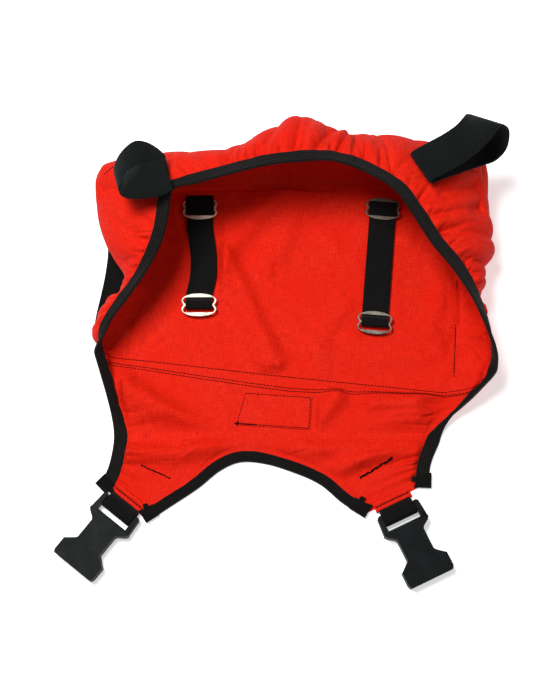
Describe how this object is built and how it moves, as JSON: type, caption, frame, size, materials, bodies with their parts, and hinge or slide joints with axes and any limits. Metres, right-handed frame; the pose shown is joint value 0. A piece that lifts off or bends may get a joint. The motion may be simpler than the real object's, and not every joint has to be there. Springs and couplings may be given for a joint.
{
  "type": "child carrier pouch",
  "caption": "Soft child carrier body: walled fabric pouch with an elastic-bound mouth, inner straps with metal slides, corner webbing loops and a leg flap ending in side-release buckle sockets.",
  "frame": {"origin": "centre of the back panel's underside, on the surface that the pouch lies on", "axes": "+Z out of the open mouth, away from the surface; +Y towards the carrier's top, where the corner loops are; +X towards the wearer's side that holds the right buckle"},
  "size_m": [0.3283, 0.3454, 0.0956],
  "materials": {
    "cloth": "woven ripstop, matt with a slight sheen",
    "binding": "ribbed fold-over elastic",
    "webbing": "tight woven webbing",
    "buckle_plastic": "moulded, fine spark texture",
    "slide_metal": "stamped and nickel plated"
  },
  "bodies": {
    "pouch": {"back_panel": "cloth", "left_wall": "cloth", "left_corner": "cloth", "top_wall": "cloth", "right_corner": "cloth", "right_wall": "cloth", "mouth_binding": "binding", "seat_panel": "cloth", "label_patch": "cloth", "side_strap": "webbing"},
    "leg_flap": {"leg_flap": "cloth", "left_leg_binding": "binding", "right_leg_binding": "binding", "crotch_binding": "binding", "left_tab_hem": "cloth", "right_tab_hem": "cloth", "left_tab_webbing": "webbing", "right_tab_webbing": "webbing"},
    "left_buckle": {"left_buckle": "buckle_plastic"},
    "right_buckle": {"right_buckle": "buckle_plastic"},
    "left_strap": {"left_strap": "webbing", "left_end_slide": "slide_metal"},
    "right_strap": {"right_strap": "webbing", "right_end_slide": "slide_metal"},
    "left_adjuster": {"left_adjuster": "slide_metal"},
    "right_adjuster": {"right_adjuster": "slide_metal"},
    "left_loop": {"left_loop": "webbing"},
    "right_loop": {"right_loop": "webbing"}
  },
  "joints": [
    {"name": "leg_flap_fold", "type": "hinge", "parent": "pouch", "child": "leg_flap", "pos_m": [0, -0.127, 0.0013], "axis": [-1, 0, 0], "range_deg": [0, 100]},
    {"name": "left_buckle_swing", "type": "hinge", "parent": "leg_flap", "child": "left_buckle", "pos_m": [-0.12464, -0.18407, 0.0055], "axis": [-0.7848, 0.6198, 0], "range_deg": [0, 110]},
    {"name": "right_buckle_swing", "type": "hinge", "parent": "leg_flap", "child": "right_buckle", "pos_m": [0.07858, -0.18647, 0.0055], "axis": [-0.9038, -0.4279, 0], "range_deg": [0, 110]},
    {"name": "left_strap_lift", "type": "hinge", "parent": "pouch", "child": "left_strap", "pos_m": [-0.0694, 0.0572, 0.0042], "axis": [-1, -0.0047, 0], "range_deg": [0, 60]},
    {"name": "right_strap_lift", "type": "hinge", "parent": "pouch", "child": "right_strap", "pos_m": [0.0718, 0.0572, 0.0042], "axis": [-0.9961, 0.088, 0], "range_deg": [0, 60]},
    {"name": "left_adjuster_slide", "type": "slide", "parent": "left_strap", "child": "left_adjuster", "axis": [0.0046, -1, 0], "range_m": [0, 0.012]},
    {"name": "right_adjuster_slide", "type": "slide", "parent": "right_strap", "child": "right_adjuster", "axis": [-0.088, -0.9961, 0], "range_m": [0, 0.05]},
    {"name": "left_loop_swing", "type": "hinge", "parent": "pouch", "child": "left_loop", "pos_m": [-0.087, 0.048, 0.0745], "axis": [0, 1, 0], "range_deg": [0, 70]},
    {"name": "right_loop_swing", "type": "hinge", "parent": "pouch", "child": "right_loop", "pos_m": [0.136, 0.074, 0.0555], "axis": [-0.6, 0.8, 0], "range_deg": [0, 40]}
  ]
}
